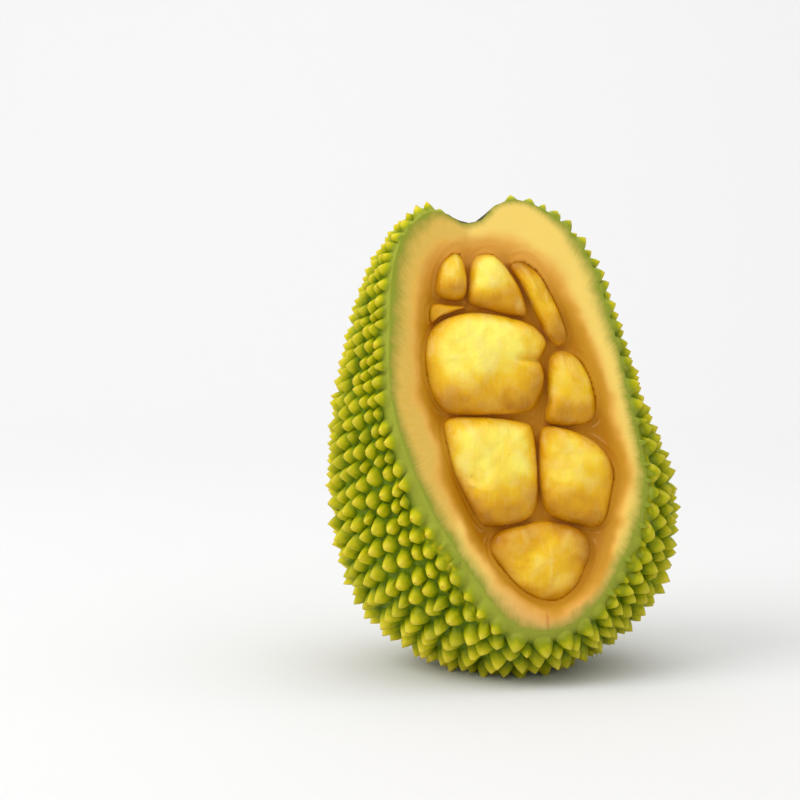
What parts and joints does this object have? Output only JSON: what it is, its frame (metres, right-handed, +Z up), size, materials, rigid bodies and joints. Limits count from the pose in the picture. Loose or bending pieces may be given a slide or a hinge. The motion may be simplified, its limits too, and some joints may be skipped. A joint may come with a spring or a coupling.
{
  "type": "jackfruit",
  "caption": "Ripe jackfruit standing upright, with a slab cut off its front that bares the pale flesh and the golden arils inside its spiky rind.",
  "frame": {"origin": "middle of the small flat spot that the fruit stands on", "axes": "+Z up from the foot to the stalk scar; the cut face is turned towards -Y; +X is to the right of someone looking at the cut face"},
  "size_m": [0.2401, 0.1809, 0.32],
  "materials": {
    "rind_and_flesh": "spiky yellow-green rind, waxy; pale cream to orange fibrous flesh on the cut face",
    "aril": "golden yellow, smooth and moist"
  },
  "bodies": {
    "root": {"fruit_body": "rind_and_flesh", "aril_top_left": "aril", "aril_top_middle": "aril", "aril_top_right": "aril", "aril_left_sliver": "aril", "aril_large": "aril", "aril_right": "aril", "aril_lower_left": "aril", "aril_lower_right": "aril", "aril_bottom": "aril"}
  },
  "joints": []
}
